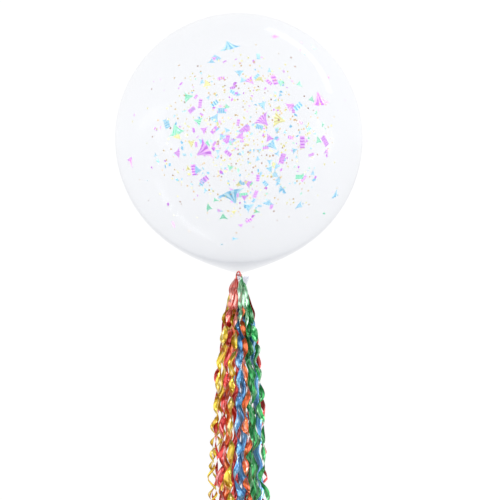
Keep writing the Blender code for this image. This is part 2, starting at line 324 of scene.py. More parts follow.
KNOT_RADIUS = 0.0080
KNOT_FROM_NECK = 0.0064
KNOT_AT = NECK_LENGTH + KNOT_FROM_NECK
KNOT_CENTRE = NECK_ROOT + NECK_WAY * KNOT_AT
KNOT_SIDES = 48
KNOT_FIT = 0.97
KNOT_CREASE = 0.16
KNOT_TWIST = 260
KNOT_DRIFT = 60
TUBE_FIT = 0.98
TUBE_CREASE = 0.10
TUBE_INSIDE = 0.002
TUBE_ROWS = 8
KNOT_ROWS = 24
LIP_LENGTH = 0.040
LIP_HALF_WIDTH = 0.0160
LIP_HALF_THICKNESS = 0.0022
LIP_BEAD_RADIUS = 0.0026
LIP_BEAD_SWELL = LIP_BEAD_RADIUS * 0.45
LIP_BEAD_FROM = 0.955
LIP_FLAT_TO = 0.93
LIP_TURN = math.radians(72)
LIP_LEAN = math.radians(32)
LIP_WALL = 0.0006
LIP_BOW = 0.0016
LIP_WAVE = 0.0007
LIP_SIDES = 64
LIP_ROWS = 19
LIP_BEAD_ROWS = 8
LIP_ALPHA = 0.42
LIP_COLOUR = (0.80, 0.80, 0.90)
LIP_DULL_COLOUR = (0.70, 0.70, 0.82)
LIP_PALE_COLOUR = (0.96, 0.96, 1.00)


def thick_latex():
    """Slack latex, cloudy and duller than the blown skin."""
    material, nodes, links, shader = new_material("thick_latex", LIP_COLOUR, 0.22)
    shader.inputs["Alpha"].default_value = LIP_ALPHA
    shader.inputs["Coat Weight"].default_value = 0.4
    shader.inputs["Coat Roughness"].default_value = 0.15
    cover(
        nodes,
        links,
        shader,
        LATEX_FILM,
        strength=0.3,
        distance=0.0004,
        Cloud_Scale=90.0,
        Peel_Scale=700.0,
        Least_Roughness=0.16,
        Clear_Colour=(*LIP_DULL_COLOUR, 1),
        Milky_Colour=(*LIP_PALE_COLOUR, 1),
    )
    return material


def creased(turn, share, depth):
    """How far a crease pulls the latex in, for a turn round the tube and a share of the way along it."""
    folds = math.cos(5 * turn + 2.5 * share) + 0.6 * math.cos(9 * turn - 3 * share)
    return 1 - depth * (0.5 + 0.3 * folds)


def make_knot(material):
    """The neck's short tube and the lumpy knot, as one turned shape with twisted folds."""
    rows = []
    for k in range(TUBE_ROWS + 1):
        along = -TUBE_INSIDE + (NECK_LENGTH + TUBE_INSIDE / 2) * k / TUBE_ROWS
        rows.append((NECK_RADIUS * TUBE_FIT, along, TUBE_CREASE))
    for k in range(1, KNOT_ROWS + 1):
        turn = math.pi * (k / KNOT_ROWS - 0.5)
        along = KNOT_AT + KNOT_RADIUS * KNOT_FIT * math.sin(turn)
        if along > NECK_LENGTH:
            rows.append((KNOT_RADIUS * KNOT_FIT * math.cos(turn), along, KNOT_CREASE))
    points = []
    for radius, along, depth in rows:
        for k in range(KNOT_SIDES):
            turn = 2 * math.pi * k / KNOT_SIDES
            wide = radius * creased(turn + along * KNOT_TWIST, along * KNOT_DRIFT, depth)
            points.append(NECK_ROOT + NECK_WAY * along + round_neck(turn) * wide)
    faces = capped(0, len(rows), KNOT_SIDES)
    return make_piece("tied_knot", points, faces, material)


def lip_rows():
    """The lip's rings, as (share of its length, half width, half thickness, depth of its creases).

    It is a flattened sock of latex: out along its outside, round the bead, and back in.
    """
    start = KNOT_RADIUS * 0.5
    outer = []
    for k in range(LIP_ROWS + 1):
        share = k / LIP_ROWS
        wide = start + (LIP_HALF_WIDTH - start) * math.sin(share * math.pi / 2) ** 1.3
        thick = start + (LIP_HALF_THICKNESS - start) * min(1, share * 1.9)
        outer.append((share * LIP_FLAT_TO, wide, thick, 0.16 * (1 - share) + 0.06))
    bead = []
    for k in range(LIP_BEAD_ROWS + 1):
        turn = math.pi * k / LIP_BEAD_ROWS
        share = LIP_BEAD_FROM + (1 - LIP_BEAD_FROM) * math.sin(turn)
        swell = LIP_BEAD_SWELL * math.cos(turn)
        bead.append((share, LIP_HALF_WIDTH + swell, LIP_HALF_THICKNESS + swell, 0.02))
    inner = [
        (share, max(wide - LIP_WALL, 0.0008), max(thick - LIP_WALL, 0.0006), depth)
        for share, wide, thick, depth in reversed(outer[4:])
    ]
    return outer + bead + inner


def make_lip(material):
    """The flare beyond the knot, turned to the right and leaning towards the balloon's upper side."""
    level = RIGHT * math.sin(LIP_TURN) + NECK_WAY * math.cos(LIP_TURN)
    way = level * math.cos(LIP_LEAN) - NECK_FRONT * math.sin(LIP_LEAN)
    across = way.cross(NECK_FRONT).normalized()
    up = across.cross(way).normalized()
    rows = lip_rows()
    points = []
    for share, wide, thick, depth in rows:
        bend = NECK_FRONT * (-LIP_BOW * math.sin(share * 2.6))
        middle = KNOT_CENTRE + way * (LIP_LENGTH * share) + bend
        for k in range(LIP_SIDES):
            turn = 2 * math.pi * k / LIP_SIDES
            pull = creased(turn, share * 2, depth)
            wave = LIP_WAVE * share * math.sin(3 * turn + 1.0)
            points.append(
                middle
                + across * (wide * pull * math.cos(turn))
                + up * (thick * pull * math.sin(turn) + wave)
            )
    faces = facing_out(points, capped(0, len(rows), LIP_SIDES))
    return make_piece("flared_lip", points, faces, material)


latex = thick_latex()
for piece in (make_knot(latex), make_lip(latex)):
    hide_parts("balloon")


# The streamers are strips of metallised plastic film, heat-set into a twist, so that each shows as a chain
# of long lenses. They hang from the loop at the neck to the floor in a slack curve and lie along it.

TAIL_LENGTH = 1.02
TAIL_DROP = math.radians(52)
LOOP_LENGTH = 0.078
STRIP_WIDTH = 0.024
FILM_THICKNESS = 0.0003
CURL_RADIUS = 0.003
LANE_GAP = 0.0015
BUNCHED_LANE = 0.0095
SPREAD_LENGTH = 0.31
SWAY = 0.007
SWAY_LENGTH = 0.21
SWAY_SHIFT = math.radians(133)
RIPPLE = 0.0032
RIPPLE_LENGTH = 0.094
RAGGED_ENDS = 0.060
RIBBON_ROWS = 300
RIBBON_COLUMNS = 6

STREAMER_ROWS = (
    ("yellow", "red", "yellow", "blue", "orange", "green", "green"),
    ("yellow", "orange", "red", "blue", "green", "blue"),
    ("red", "yellow", "orange", "blue", "red", "green", "red"),
)

BUNCH_MIDDLE = BUNCHED_LANE * len(STREAMER_ROWS) / 2
LOOP_TOP = NECK_ROOT + NECK_WAY * (NECK_LENGTH / 2)
LINE_START_Y = LOOP_TOP.y + BUNCH_MIDDLE * math.sin(TAIL_DROP)
LINE_START_Z = LOOP_TOP.z - BUNCH_MIDDLE * math.cos(TAIL_DROP)
BEND_RADIUS = LINE_START_Z / (1 / math.cos(TAIL_DROP) - 1)
HANG_LENGTH = BEND_RADIUS * math.tan(TAIL_DROP)


def lane_step(along):
    """The distance between neighbouring lanes, from bunched under the loop to free at the ends."""
    free = STRIP_WIDTH + 2 * CURL_RADIUS + LANE_GAP
    bunched = math.exp(-max(along - LOOP_LENGTH, 0) / SPREAD_LENGTH)
    return free - (free - BUNCHED_LANE) * bunched


def tail_frame(along):
    """(point, direction, upward side) of the tail's lower line, at a distance along it."""
    left = max(HANG_LENGTH - along, 0)
    slope = math.atan2(left, BEND_RADIUS)
    height = math.hypot(BEND_RADIUS, left) - BEND_RADIUS
    forward = math.asinh(HANG_LENGTH / BEND_RADIUS) - math.asinh(left / BEND_RADIUS)
    forward = forward * BEND_RADIUS + max(along - HANG_LENGTH, 0)
    point = Vector((0, LINE_START_Y - forward, height))
    way = Vector((0, -math.cos(slope), -math.sin(slope)))
    up = Vector((0, -math.sin(slope), math.cos(slope)))
    return point, way, up


def in_tail(right, along, up_by):
    point, _, up = tail_frame(along)
    return point + RIGHT * right + up * up_by


def eased(share):
    """0 to 1, with a soft start and end."""
    share = max(0, min(1, share))
    return share * share * (3 - 2 * share)


def sway(row, along):
    """How far right a row of lanes has swung at a distance along the tail: a slow wave and a quick one."""
    grown = 1 - math.exp(-(along - LOOP_LENGTH) / SPREAD_LENGTH)
    slow = SWAY * math.sin(2 * math.pi * along / SWAY_LENGTH + row * SWAY_SHIFT)
    quick = RIPPLE * math.sin(2 * math.pi * along / RIPPLE_LENGTH + 2 * row)
    return slow * grown + quick * eased((along - LOOP_LENGTH) / 0.08)


def add_range(nodes, links, value, low, high, most=1.0):
    """How far the value is from low to high, from 0 up to most."""
    spread = nodes.new("ShaderNodeMapRange")
    spread.inputs["From Min"].default_value = low
    spread.inputs["From Max"].default_value = high
    spread.inputs["To Max"].default_value = most
    links.new(value, spread.inputs["Value"])
    return spread.outputs["Result"]


def foil_film():
    """A node group for metallised film: drawn streaks and dents, painted shade and light, and pale painted
    highlights.
    """
    black = (0, 0, 0, 1)
    group, start, end = new_film(
        "foil_film",
        {"Streak Scale": 700.0, "Dent Scale": 130.0, "Base Roughness": 0.2},
        {"Deep Colour": black, "Bright Colour": black, "Pale Colour": black},
    )
    nodes, links = group.nodes, group.links
    place = nodes.new("ShaderNodeUVMap")
    place.uv_map = "film"
    drawn = []
    for shortening in (0.06, 0.12):
        mapping = nodes.new("ShaderNodeMapping")
        mapping.inputs["Scale"].default_value = (shortening, 1, 1)
        links.new(place.outputs["UV"], mapping.inputs["Vector"])
        drawn.append(mapping.outputs["Vector"])
    streak = add_noise(nodes, links, drawn[0], start.outputs["Streak Scale"], 3.0)
    dent_and_shade_noise = add_noise(nodes, links, drawn[1], start.outputs["Dent Scale"])
    # Painted highlights: this noise lays long pale stretches, mixed towards a whitened copy of the lit
    # colour.
    shine = add_noise(nodes, links, drawn[1], 100.0, 1.0)
    height = add_scaled(nodes, links, streak, 0.06, dent_and_shade_noise)
    # Painted shade and painted light: the colour goes from the shaded copy to the lit copy by the dent
    # noise.
    painted_light_share = add_range(nodes, links, dent_and_shade_noise, 0.38, 0.62)
    tint = add_blend(nodes, links, painted_light_share, start.outputs["Deep Colour"], start.outputs["Bright Colour"])
    painted_highlight_share = add_range(nodes, links, shine, 0.56, 0.68, 0.7)
    paled = add_blend(nodes, links, painted_highlight_share, tint, start.outputs["Pale Colour"])
    rough = add_scaled(nodes, links, streak, 0.16, start.outputs["Base Roughness"])
    links.new(paled, end.inputs["Colour"])
    links.new(rough, end.inputs["Roughness"])
    links.new(height, end.inputs["Height"])
    return group


FOIL_FILM = foil_film()

# (painted shade, painted light) for each colour: the foil film mixes each pair by noise.
FOIL_SHADED_AND_LIT = {
    "yellow": ((0.52, 0.27, 0.002), (0.86, 0.64, 0.03)),
    "red": ((0.32, 0.004, 0.006), (0.84, 0.035, 0.025)),
    "orange": ((0.62, 0.045, 0.004), (0.96, 0.22, 0.035)),
    "blue": ((0.015, 0.14, 0.42), (0.18, 0.51, 0.86)),
    "green": ((0.002, 0.11, 0.025), (0.02, 0.44, 0.09)),
    # The two lighter copies of red and green below are a painted highlight on the bunches.
    "highlit_red": ((0.74, 0.022, 0.016), (1.00, 0.46, 0.38)),
    "highlit_green": ((0.02, 0.40, 0.11), (0.72, 1.00, 0.77)),
}
# How far the painted highlights whiten the lit colour.
HIGHLIGHT_WHITENING = 0.4


def foil(name):
    """Metallised film under a clear lacquer, whose white gloss lies over the coloured shine."""
    deep, bright = FOIL_SHADED_AND_LIT[name]
    material, nodes, links, shader = new_material(name + "_foil", bright, 0.25, 0.6)
    shader.inputs["Coat Weight"].default_value = 0.55
    shader.inputs["Coat Roughness"].default_value = 0.13
    shader.inputs["Coat IOR"].default_value = 1.7
    # The foil's colour is painted: shade and light mixed by noise, with pale stretches of painted highlight.
    cover(
        nodes,
        links,
        shader,
        FOIL_FILM,
        strength=0.16,
        distance=0.002,
        Base_Roughness=0.22,
        Deep_Colour=(*deep, 1),
        Bright_Colour=(*bright, 1),
        Pale_Colour=(*(level + (1 - level) * HIGHLIGHT_WHITENING for level in bright), 1),
    )
    return material


FOILS = {name: foil(name) for name in FOIL_SHADED_AND_LIT}


def ribbon_mesh(spine, columns=RIBBON_COLUMNS, pleats=0):
    """Points, faces and film coordinates of a closed thin ribbon.

    Each row of the spine is (middle, sideways, face way, width, crown, distance along), where crown is how
    far the middle of the ribbon stands out from its edges, or how deep its pleats are.
    """
    points, film = [], []
    for middle, side, face, width, crown, along in spine:
        for back in (0, 1):
            for k in range(columns + 1):
                v = k / columns - 0.5
                v = -v if back else v
                shape = pleat((v + 0.5) * 2 * math.pi, pleats) if pleats else 1 - 4 * v * v
                bulge = crown * shape - back * FILM_THICKNESS
                points.append(middle + side * (width * v) + face * bulge)
                film.append((along, width * v))
    ring = 2 * (columns + 1)
    faces = capped(0, len(spine), ring, flip=True)
    return points, facing_out(points, faces), film


def pleat(turn, count):
    """A sharp fold profile from 0, in the valleys, to 1, on the ridges."""
    share = (turn * count / (2 * math.pi)) % 1
    return 1 - abs(2 * share - 1)


def lay_film(piece, film):
    """Keeps the distances along and across the film as a UV map."""
    mesh = piece.data
    layer = mesh.uv_layers.new(name="film")
    for loop in mesh.loops:
        layer.data[loop.index].uv = film[loop.vertex_index]


# Near the loop the strips are too crowded to turn, so they overlap like slats. The top row flutters there.
# From TURNS_FROM on, each strip has room for turns of its own.
TURNS_FROM = 0.29
SLANT = math.radians(19)
SLANT_WAVE = math.radians(10)
SLANT_WAVE_LENGTH = 0.083
FLUTTER = math.radians(70)
FLUTTER_LENGTH = 0.158
FLUTTER_SHIFT = math.radians(-26)
FLUTTER_FROM = LOOP_LENGTH + 0.012
FLUTTER_EASING = 0.05
OVERLAP = 2.0


def slant(row, column, along):
    """The angle of a strip to the tail's width, where the strips overlap under the loop."""
    flat = SLANT + SLANT_WAVE * math.sin(2 * math.pi * along / SLANT_WAVE_LENGTH + row * 2.3)
    if row:
        return flat
    beat = 2 * math.pi * (along - LOOP_LENGTH) / FLUTTER_LENGTH + FLUTTER_SHIFT * column
    grown = eased((along - FLUTTER_FROM) / FLUTTER_EASING)
    return flat + (math.pi / 2 - FLUTTER * math.cos(beat) - flat) * grown


# Low down, the outer streamers are narrower and wound wider. Here are the width, the radius of the winding
# and the length of a turn. Two on the left wind about each other, so that they cross in open rings, and
# RINGED has how many lanes to the right they go and how far they swing.
LOOPY_STREAMERS = {
    (0, 0): (0.0112, 0.003, 0.105),
    (1, 0): (0.0115, 0.003, 0.115),
    (2, 0): (0.0100, 0.002, 0.120),
    (0, 6): (0.0170, 0.008, 0.120),
    (2, 6): (0.0120, 0.011, 0.105),
}
LOOPY_FROM = 0.54
RINGED = {(0, 0): (0, 0.0115), (1, 0): (-0.5, -0.0115), (2, 0): (0.28, 0.0)}
RING_PITCH = 0.100
FLOOR_GAP = 0.0004

# The middle row has no room for whole turns. It only rocks to and fro.
ROCKING_ROW = 1
ROCKING = math.radians(36)
ROCKING_WIDTH = 0.029
ROCKING_WINDING = 0.001
STRIP_SHIFT = 1.9

# Each strip draws its own values from these ranges: its width, the radius of its winding, the length of a
# turn, its crown, and how far beyond TURNS_FROM it is well into its turns. Some turn the other way round.
WIDTHS = (0.0240, 0.0270)
WINDINGS = (0.003, 0.008)
TURN_LENGTHS = (0.155, 0.205)
CROWNS = (0.0025, 0.0045)
LATENESS = (-0.05, 0.03)
OTHER_WAY_ROUND = 0.4
CROWDED_CROWN = 0.0014
FULL_CROWN_WIDTH = 0.024
FREEING_LENGTH = 0.10
TURNING_EASING = 0.12
LANE_FILL = 0.88
ROCKING_FILL = 0.95
MOST_WINDING = 0.95
TOP_LIFT = 0.004
SOLID_THICKNESS = 0.001

# The random changes along a strip: how strong each is, and how many times a metre it comes and goes.
UNEVEN_TURNS = 0.5
UNEVEN_TURNS_PACE = 6
DRIFT = 0.0045
DRIFT_PACE = 9
UNEVEN_WIDTH = 0.22
UNEVEN_WIDTH_PACE = 22
CRUMPLE = math.radians(26)
CRUMPLE_PACE = 30
WAVE = 0.0016
WAVE_LENGTH = 0.113


def stirred(seed, along, pace, track=0):
    """A smooth random number between -1 and 1 that changes along a strip. Each track is a row of its own."""
    return noise.noise(seed + Vector((along * pace, track, 0)))


def make_streamer(name, node, row, column, colour):
    """A strip that winds about its lane with its face outwards, as heat-set film does."""
    dice = random.Random(100 * row + column)
    lanes_right = column - (len(STREAMER_ROWS[row]) - 1) / 2
    rows_below = len(STREAMER_ROWS) - 1 - row
    ragged = (row + 3 * column) % 5 / 4
    length = TAIL_LENGTH - RAGGED_ENDS * ragged
    usual = (dice.uniform(*WIDTHS), dice.uniform(*WINDINGS), dice.uniform(*TURN_LENGTHS))
    if row == ROCKING_ROW:
        usual = (ROCKING_WIDTH, ROCKING_WINDING, usual[2])
    loopy = LOOPY_STREAMERS.get((row, column), usual)
    own_crown = dice.uniform(*CROWNS)
    way_round = -1 if (row, column) == (1, 0) or dice.random() < OTHER_WAY_ROUND else 1
    late = dice.uniform(*LATENESS)
    seed = Vector((row * 7.3, column * 3.1, 0.5))
    # The hidden rows drift nearly together, so that neighbours don't cut through each other.
    drift_seed = Vector((row * 7.3, column * 0.3, 0.5)) if row else seed
    lanes, swing_width = RINGED.get((row, column), (0, 0))
    spine = []
    angle = slant(row, column, LOOP_LENGTH)
    before = LOOP_LENGTH
    for k in range(RIBBON_ROWS + 1):
        along = LOOP_LENGTH + (length - LOOP_LENGTH) * k / RIBBON_ROWS
        step = lane_step(along)
        room = step - LANE_GAP
        free = eased((along - TURNS_FROM) / FREEING_LENGTH + 0.5)
        calm = free if row else 1
        loose = stirred(seed, along, UNEVEN_TURNS_PACE)
        turning = eased((along - TURNS_FROM - late) / TURNING_EASING)
        open_up = eased((along - LOOPY_FROM) / TURNING_EASING)
        full_width, winding, turn_length = (
            a + (b - a) * open_up for a, b in zip(usual, loopy)
        )
        if row == ROCKING_ROW and (column or along < LOOPY_FROM):
            beat = 2 * math.pi * along / turn_length + STRIP_SHIFT * column + loose
            angle = slant(row, column, along) * (1 - turning) + ROCKING * math.sin(beat) * turning
        else:
            uneven = 1 + UNEVEN_TURNS * loose
            angle += way_round * turning * 2 * math.pi * (along - before) / turn_length * uneven
            angle += (1 - turning) * (slant(row, column, along) - slant(row, column, before))
        before = along
        crowded_width = min(full_width, OVERLAP * room)
        free_width = min(full_width, room * (ROCKING_FILL if row == ROCKING_ROW else LANE_FILL))
        width = crowded_width + (free_width - crowded_width) * free
        most = math.sqrt(max((room / 2) ** 2 - (width / 2) ** 2, 0))
        off_lane = min(winding, most * MOST_WINDING) * free
        wander = WAVE * math.sin(2 * math.pi * along / WAVE_LENGTH + STRIP_SHIFT * column + row)
        wander += DRIFT * stirred(drift_seed, along, DRIFT_PACE, 13) * calm
        width *= 1 + UNEVEN_WIDTH * stirred(seed, along, UNEVEN_WIDTH_PACE, 9)
        swing = swing_width * math.sin(2 * math.pi * (along - LOOPY_FROM) / RING_PITCH)
        right = lanes_right * step + sway(row, along) + wander + (lanes * step + swing) * open_up
        up_by = math.hypot(room, SOLID_THICKNESS) / 2 + step * rows_below
        if row == 0:
            up_by += max(0, width / 2 * abs(math.sin(angle)) + TOP_LIFT - step) * (1 - free)
        _, way, up = tail_frame(along)
        crumpled = angle + CRUMPLE * stirred(seed, along, CRUMPLE_PACE, 5) * calm
        out = RIGHT * math.cos(crumpled) + up * math.sin(crumpled)
        face = out.cross(way)
        crown = CROWDED_CROWN + (own_crown - CROWDED_CROWN) * free
        crown *= min(width / FULL_CROWN_WIDTH, 1)
        middle = in_tail(right, along, up_by) - face * (off_lane - crown / 2)
        lowest = middle.z - abs(out.z) * width / 2 - abs(face.z) * (crown + FILM_THICKNESS)
        middle.z += max(FLOOR_GAP - lowest, 0)
        spine.append((middle, out, face, width, -crown, along + 8 * row + column))
    points, faces, film = ribbon_mesh(spine)
    piece = make_piece(name, points, faces, FOILS[colour], math.radians(70))
    lay_film(piece, film)
    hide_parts(node)
    return piece


made = {colour: 0 for colours in STREAMER_ROWS for colour in colours}
for row, colours in enumerate(STREAMER_ROWS):
    for column, colour in enumerate(colours):
        made[colour] += 1
        number = made[colour]
        make_streamer(f"{colour}_ribbon_{number}", f"{colour}_streamer_{number}", row, column, colour)


# The loop is the gathered tops of the streamers, pleated and drawn together in a red bunch and a green one.
# A ring of rolled foil holds both to the neck, and the bunches pass the knot on either side. One strip of
# the red bunch stands up in an arch, and some strips end loose on top of the tail.

RING_CLEARANCE = 0.0006
RING_THICKNESS = 0.0052
RING_RADIUS = NECK_RADIUS + RING_CLEARANCE + RING_THICKNESS / 2
LEFT_STRAND_RADIUS = 0.0042
RIGHT_STRAND_RADIUS = 0.0034
LEFT_BUNCH_SHARE = (-0.58, 0.56)
RIGHT_BUNCH_SHARE = (0.36, 0.62)
END_GAP = 0.0004
BUNCH_STEPS = 10
BUNCH_COLUMNS = 8
SLAT_OVERLAP = 1.5
SLAT_CROWN = 0.14
LOOSE_ROWS = 60
LOOSE_LENGTHS = (0.06, 0.13)
LOOSE_TURN_LENGTHS = (0.10, 0.17)
LOOSE_WAVE = 0.006
LOOSE_HEIGHT = 0.0065
ARCH_STEPS = 12
ARCH_WIDTH = 0.0068
ARCH_PLEAT = 0.0007
RING_SIDES = 16
RING_STEPS = 120
RING_WRAPS = 14
WRAP_RELIEF = 0.12


def by_neck(right, along, front):
    """A point by the neck: right, along the neck from its root, and towards the tail's upper side."""
    return NECK_ROOT + RIGHT * right + NECK_WAY * along + NECK_FRONT * front


def between(a, b, c, d, t):
    """The number at share t from b to c on a Catmull-Rom curve through four numbers."""
    line = 2 * b + (c - a) * t
    bend = (2 * a - 5 * b + 4 * c - d) * t**2
    twist = (3 * b - a - 3 * c + d) * t**3
    return (line + bend + twist) / 2


def smooth_rows(rows, steps):
    """Rows of numbers on a smooth curve through the given rows, with steps between each two of them."""
    padded = [rows[0], *rows, rows[-1]]
    found = []
    for four in zip(padded, padded[1:], padded[2:], padded[3:]):
        for k in range(steps):
            found.append([between(*numbers, k / steps) for numbers in zip(*four)])
    found.append(list(rows[-1]))
    return found


def bunch_rows(side, strand_radius, share, waist):
    """A bunch's rows: on the ring, past the knot, its waist, and the last two that meet the streamers."""
    thick = RING_THICKNESS / 2
    half_tail = BUNCHED_LANE * max(len(row) for row in STREAMER_ROWS) / 2
    middle, half_width = share
    past_knot = KNOT_RADIUS + strand_radius + RING_CLEARANCE
    return [
        (by_neck(side * RING_RADIUS * 0.86, NECK_LENGTH / 2, RING_RADIUS / 2), thick, thick),
        (
            by_neck(side * past_knot * 0.82, KNOT_AT, past_knot * 0.62),
            strand_radius,
            strand_radius,
        ),
        waist,
        (
            in_tail(middle * half_tail * 1.05, LOOP_LENGTH * 0.66, BUNCH_MIDDLE),
            half_width * half_tail * 0.93,
            BUNCH_MIDDLE * 0.9,
        ),
        (
            in_tail(middle * half_tail, LOOP_LENGTH - END_GAP, BUNCH_MIDDLE),
            half_width * half_tail,
            BUNCH_MIDDLE,
        ),
    ]


def loose_end(number, right, width, tilt, gone):
    """A gathered strip's loose end. It winds over the top row of streamers and narrows to a point."""
    dice = random.Random(number)
    length, turn_length = dice.uniform(*LOOSE_LENGTHS), dice.uniform(*LOOSE_TURN_LENGTHS)
    way_round, phase = (-1) ** number, 2.4 * number
    spine = []
    for k in range(1, LOOSE_ROWS + 1):
        share = k / LOOSE_ROWS
        along = LOOP_LENGTH + length * share
        step = lane_step(along)
        _, way, up = tail_frame(along)
        lean = tilt + way_round * 2 * math.pi * length / turn_length * share**1.4
        out = RIGHT * math.cos(lean) + up * math.sin(lean)
        wave = LOOSE_WAVE * (math.sin(6 * share + phase) - math.sin(phase)) * share
        across = right * step / BUNCHED_LANE + wave
        narrow = width * (1 + 0.15 * share - share**4)
        above = (step - LANE_GAP) / 2 + 2 * step + LOOSE_HEIGHT + 0.5 * narrow * abs(math.sin(lean))
        middle = in_tail(across, along, above)
        spine.append((middle, out, out.cross(way), narrow, narrow * SLAT_CROWN, gone + length * share))
    return spine


def relaxed(spine, passes=12):
    """The same spine with its kinks smoothed out, and its faces turned to its new path."""
    middles = [row[0] for row in spine]
    for _ in range(passes):
        inner = [(a + 2 * b + c) / 4 for a, b, c in zip(middles, middles[1:], middles[2:])]
        middles = [middles[0], *inner, middles[-1]]
    last = len(spine) - 1
    found = []
    for index, (middle, (_, side, *rest)) in enumerate(zip(middles, spine)):
        way = (middles[min(index + 1, last)] - middles[max(index - 1, 0)]).normalized()
        side = (side - way * side.dot(way)).normalized()
        found.append((middle, side, side.cross(way), *rest[1:]))
    return found


def gathered_strip(rows, layer, number, strips):
    """The spine of one strip of a bunch, which weaves and leans like a slat. Those on top end loose."""
    place = (2 * number + 1) / strips - 1
    last = len(rows) - 1
    spine, gone = [], 0.0
    for index, (middle, way, half, deep) in enumerate(rows):
        if index:
            gone += (middle - rows[index - 1][0]).length
        share = index / last
        up = way.cross(RIGHT).normalized()
        across = up.cross(way).normalized()
        tilt = SLANT * (1 if layer == 0 else -1) + 0.5 * math.sin(7 * share + 1.8 * number) * share
        out = across * math.cos(tilt) + up * math.sin(tilt)
        centre = middle + across * (half * (0.70 * place + 0.16 * math.sin(8 * share + 2.2 * number)))
        high = 0.62 + 0.43 * share**3 if layer == 0 else -0.48
        centre += up * (deep * high - half * 0.12 * place * place * (1 - share))
        width = half * (2 / strips) * SLAT_OVERLAP
        spine.append((centre, out, out.cross(way), width, width * SLAT_CROWN, gone))
    if layer == 0:
        spine += loose_end(number, centre.x, width, tilt, gone)
    return spine


def arch_strip(arch):
    """The spine of the strip that stands up in an arch through those points, broadest at its top."""
    path = [Vector(row) for row in smooth_rows([tuple(point) for point in arch], ARCH_STEPS)]
    last = len(path) - 1
    spine, gone = [], 0.0
    for index, point in enumerate(path):
        ahead = (path[min(index + 1, last)] - path[max(index - 1, 0)]).normalized()
        if index:
            gone += (point - path[index - 1]).length
        side = ahead.cross(NECK_FRONT + RIGHT * 0.5).normalized()
        swell = 0.6 + 0.4 * math.sin(math.pi * index / last)
        spine.append((point, side, side.cross(ahead), ARCH_WIDTH * swell, ARCH_PLEAT, gone))
    return spine


def make_bunch(name, rows, strips, material, arch=()):
    """The gathered tops: pleated strips side by side in two layers, each overlapping the next like slats."""
    smooth = smooth_rows([(*row[0], *row[1:]) for row in rows], BUNCH_STEPS)
    middles = [Vector(row[:3]) for row in smooth]
    ways = [(after - before).normalized() for before, after in zip(middles, middles[1:])]
    ways.append(tail_frame(LOOP_LENGTH)[1])
    fine_rows = [(middle, way, row[3], row[4]) for middle, way, row in zip(middles, ways, smooth)]
    spines = []
    for layer in (0, 1):
        for number in range(strips):
            spines.append((relaxed(gathered_strip(fine_rows, layer, number, strips)), 2 * layer))
    if arch:
        spines.append((arch_strip(arch), 2))
    points, faces, film = [], [], []
    for spine, pleats in spines:
        more_points, more_faces, more_film = ribbon_mesh(spine, BUNCH_COLUMNS, pleats)
        start = len(points)
        points += more_points
        faces += [tuple(i + start for i in face) for face in more_faces]
        film += more_film
    piece = make_piece(name, points, faces, material, math.radians(30))
    lay_film(piece, film)
    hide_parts("tail_loop")
    return piece


def make_ring(material):
    """The ring is a strip of foil rolled round the neck, with its wraps showing as slanting ridges."""
    points, film = [], []
    for k in range(RING_STEPS):
        turn = 2 * math.pi * k / RING_STEPS
        out = round_neck(turn)
        for j in range(RING_SIDES):
            across = 2 * math.pi * j / RING_SIDES
            ridge = pleat(turn + across / RING_WRAPS, RING_WRAPS)
            thick = RING_THICKNESS / 2 * (1 - WRAP_RELIEF + WRAP_RELIEF * ridge)
            points.append(
                LOOP_TOP
                + out * (RING_RADIUS + thick * math.cos(across))
                + NECK_WAY * (thick * math.sin(across))
            )
            film.append((turn * RING_RADIUS, across * thick))
    quads = turned_faces(0, RING_STEPS + 1, RING_SIDES)
    faces = [tuple(i % len(points) for i in quad) for quad in quads]
    piece = make_piece("neck_ring", points, facing_out(points, faces), material)
    lay_film(piece, film)
    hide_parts("tail_loop")
    return piece


knot_end = KNOT_AT + KNOT_RADIUS
left_waist = (
    by_neck(-RING_RADIUS * 1.35, knot_end * 1.4, 0),
    LEFT_STRAND_RADIUS * 2.7,
    LEFT_STRAND_RADIUS * 1.7,
)
right_waist = (
    by_neck(RING_RADIUS * 0.95, knot_end * 1.25, RING_RADIUS * 0.6),
    RIGHT_STRAND_RADIUS * 2.7,
    RIGHT_STRAND_RADIUS * 1.2,
)
make_ring(FOILS["red"])
left = bunch_rows(-1, LEFT_STRAND_RADIUS, LEFT_BUNCH_SHARE, left_waist)
right = bunch_rows(1, RIGHT_STRAND_RADIUS, RIGHT_BUNCH_SHARE, right_waist)
arch = (
    by_neck(-0.0100, 0.0100, 0.0120),
    by_neck(-0.0085, 0.0010, 0.0200),
    by_neck(-0.0040, -0.0070, 0.0285),
    by_neck(0.0020, -0.0072, 0.0290),
    by_neck(0.0060, 0.0015, 0.0200),
    by_neck(0.0070, 0.0110, 0.0150),
)
# The bunches wear the lighter copies of the red and green foil, a painted highlight.
make_bunch("red_bunch", left, 3, FOILS["highlit_red"], arch)
make_bunch("green_bunch", right, 4, FOILS["highlit_green"])


# The confetti is pastel foil, cut and crimped, loose in the balloon, where it clings to the inside of the
# skin: pleated fans, crimped rectangles, torn scraps and round dots.

# (shaded, lit) for each colour. On fans and strips the shaded one is painted shade on every other pleat
# face; scraps and dots each take one of the two at random.
CONFETTI_TONES = {
    "lilac": ((0.64, 0.17, 0.82), (0.90, 0.56, 0.97)),
    "sky": ((0.19, 0.54, 0.79), (0.60, 0.88, 0.97)),
    "mint": ((0.16, 0.73, 0.41), (0.52, 0.94, 0.74)),
    "lemon": ((0.77, 0.71, 0.19), (0.95, 0.92, 0.52)),
    "peach": ((0.66, 0.44, 0.19), (0.82, 0.62, 0.32)),
    "taupe": ((0.38, 0.23, 0.16), (0.52, 0.35, 0.26)),
}
